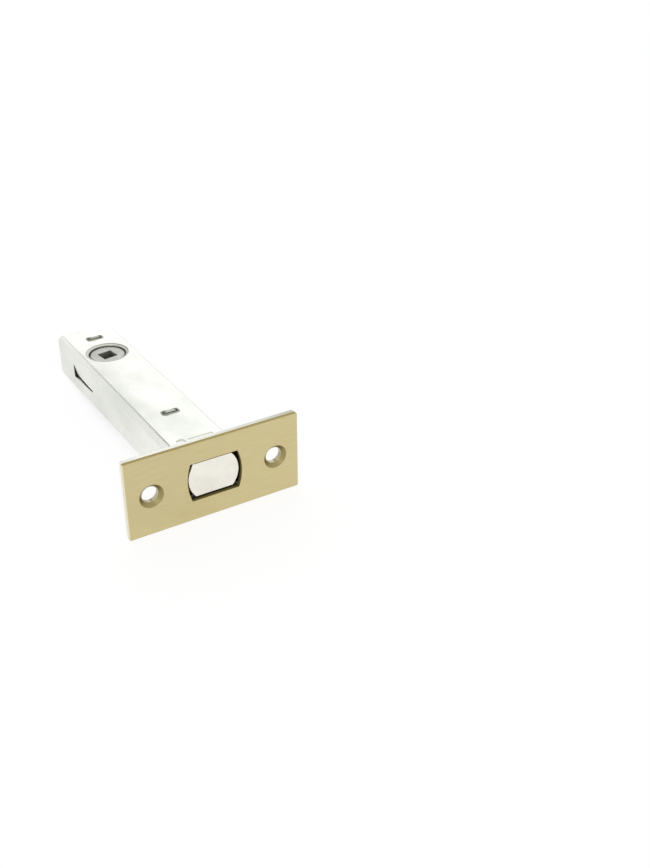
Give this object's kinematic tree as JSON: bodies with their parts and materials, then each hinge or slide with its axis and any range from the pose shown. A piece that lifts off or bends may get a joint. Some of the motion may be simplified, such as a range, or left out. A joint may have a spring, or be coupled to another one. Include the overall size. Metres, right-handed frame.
{
  "type": "tubular deadbolt",
  "caption": "Tubular deadbolt: flat-sided bolt in a folded steel case behind a rectangular forend, thrown by a follower with a square spindle hole.",
  "frame": {"origin": "centre of the forend's front face, midway between its two screw holes", "axes": "+X along the forend, +Y from the forend back into the door, +Z along the spindle"},
  "size_m": [0.057, 0.102, 0.026],
  "materials": {
    "satin_brass": "satin brass finish, fine grained",
    "zinc_plate": "bright zinc plate on folded sheet",
    "nickel_plate": "bright nickel plate",
    "bare_steel": "stamped steel, oiled",
    "zinc_casting": "die-cast zinc, as cast",
    "spring_steel": "blued spring strip"
  },
  "bodies": {
    "case": {"forend_plate": "satin_brass", "inner_forend": "zinc_plate", "case_channel": "zinc_plate", "case_base": "zinc_plate", "front_spacer": "zinc_plate", "rear_spacer": "zinc_plate", "detent_spring": "spring_steel"},
    "bolt": {"bolt_head": "nickel_plate", "bolt_tail": "bare_steel", "bolt_rivet": "bare_steel"},
    "follower": {"follower": "zinc_casting"}
  },
  "joints": [
    {"name": "follower_turn", "type": "hinge", "parent": "case", "child": "follower", "pos_m": [0, 0.081, 0], "axis": [0, 0, -1], "range_deg": [0, 90], "deforming": ["detent_spring"]},
    {"name": "bolt_slide", "type": "slide", "parent": "case", "child": "bolt", "axis": [0, -1, 0], "range_m": [0, 0.00948]}
  ],
  "couplings": [
    {"joint": "follower_turn", "follows": "bolt_slide", "rad_per_m": 165.78}
  ]
}
